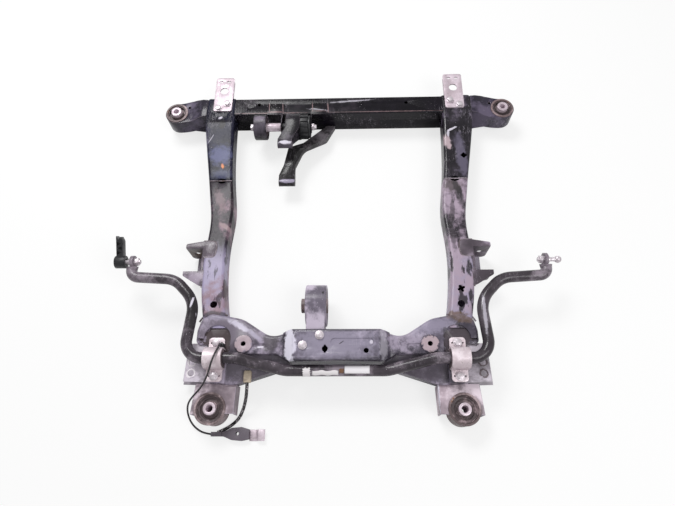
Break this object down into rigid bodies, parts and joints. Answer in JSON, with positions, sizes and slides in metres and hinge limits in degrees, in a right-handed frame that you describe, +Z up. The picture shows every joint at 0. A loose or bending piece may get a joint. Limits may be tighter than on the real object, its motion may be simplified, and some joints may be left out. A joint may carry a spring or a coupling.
{
  "type": "front subframe",
  "caption": "Pressed-steel car subframe with rubber body mounts, anti-roll bar, engine roll mounts and control-arm brackets.",
  "frame": {"origin": "midway between the bores of the two rear body mounts, at the level of the feet of their sleeves, which is the floor", "axes": "+X across the car to the right half in the picture, +Y to the front of the car, +Z up"},
  "size_m": [1.1115, 1.024, 0.142],
  "materials": {
    "frame_paint": "worn black paint on pressed steel, dusty",
    "bar_paint": "worn black paint",
    "cast_alloy": "dull cast, oxidised",
    "bush_rubber": "dusty",
    "zinc_steel": "zinc plated, dulled",
    "bolt_steel": "plated, weathered",
    "cast_iron": "painted, oily",
    "black_plastic": "moulded",
    "beige_plastic": "moulded, soiled",
    "lead_sheath": "corrugated sheath, dusty"
  },
  "bodies": {
    "subframe": {"bar_bush_left": "bush_rubber", "bar_bush_right": "bush_rubber", "bar_clamp_left": "cast_alloy", "bar_clamp_right": "cast_alloy", "clamp_bolts": "bolt_steel", "control_arm_bracket_left": "frame_paint", "control_arm_bracket_right": "frame_paint", "corner_pocket_left": "frame_paint", "corner_pocket_right": "frame_paint", "front_bush_rubber_left": "bush_rubber", "front_bush_rubber_right": "bush_rubber", "front_bush_shell_left": "frame_paint", "front_bush_shell_right": "frame_paint", "front_bush_sleeve_left": "zinc_steel", "front_bush_sleeve_right": "zinc_steel", "front_crossmember_lower": "frame_paint", "front_crossmember_upper": "frame_paint", "front_ear_left": "frame_paint", "front_ear_right": "frame_paint", "lead_cable": "lead_sheath", "lead_clip": "black_plastic", "lead_conduit": "lead_sheath", "lead_connector": "beige_plastic", "platform_bolts": "bolt_steel", "rear_arm_left": "frame_paint", "rear_arm_right": "frame_paint", "rear_bush_rubber_left": "bush_rubber", "rear_bush_rubber_right": "bush_rubber", "rear_bush_shell_left": "frame_paint", "rear_bush_shell_right": "frame_paint", "rear_bush_sleeve_left": "zinc_steel", "rear_bush_sleeve_right": "zinc_steel", "rear_crossmember_pan": "frame_paint", "rear_crossmember_upper": "frame_paint", "rear_roll_bracket": "cast_iron", "rear_roll_rubber": "bush_rubber", "rear_roll_sleeve": "zinc_steel", "roll_mount_arm": "cast_iron", "roll_mount_bolt": "bolt_steel", "roll_mount_bush": "bush_rubber", "roll_mount_cheek_left": "frame_paint", "roll_mount_cheek_right": "frame_paint", "roll_mount_ring": "cast_iron", "roll_mount_ring_rubber": "bush_rubber", "roll_mount_sleeve": "zinc_steel", "roll_mount_spacer": "zinc_steel", "roll_mount_stay": "cast_iron", "sensor_body": "black_plastic", "sensor_bracket": "zinc_steel", "side_rail_front_left": "frame_paint", "side_rail_front_right": "frame_paint", "side_rail_rear_left": "frame_paint", "side_rail_rear_right": "frame_paint", "support_bolts": "bolt_steel", "support_bracket_left": "zinc_steel", "support_bracket_right": "zinc_steel"},
    "anti_roll_bar": {"anti_roll_bar": "bar_paint", "ball_stud_left": "bolt_steel", "ball_stud_right": "bolt_steel"},
    "drop_link": {"drop_link_stub": "black_plastic"}
  },
  "joints": [
    {"name": "bar_turn", "type": "hinge", "parent": "subframe", "child": "anti_roll_bar", "pos_m": [0, 0.11, 0.099], "axis": [1, 0, 0], "range_deg": [-10, 8]},
    {"name": "link_swivel", "type": "hinge", "parent": "anti_roll_bar", "child": "drop_link", "pos_m": [-0.545, 0.351, 0.106], "axis": [1, 0, 0], "range_deg": [-40, 60]}
  ]
}
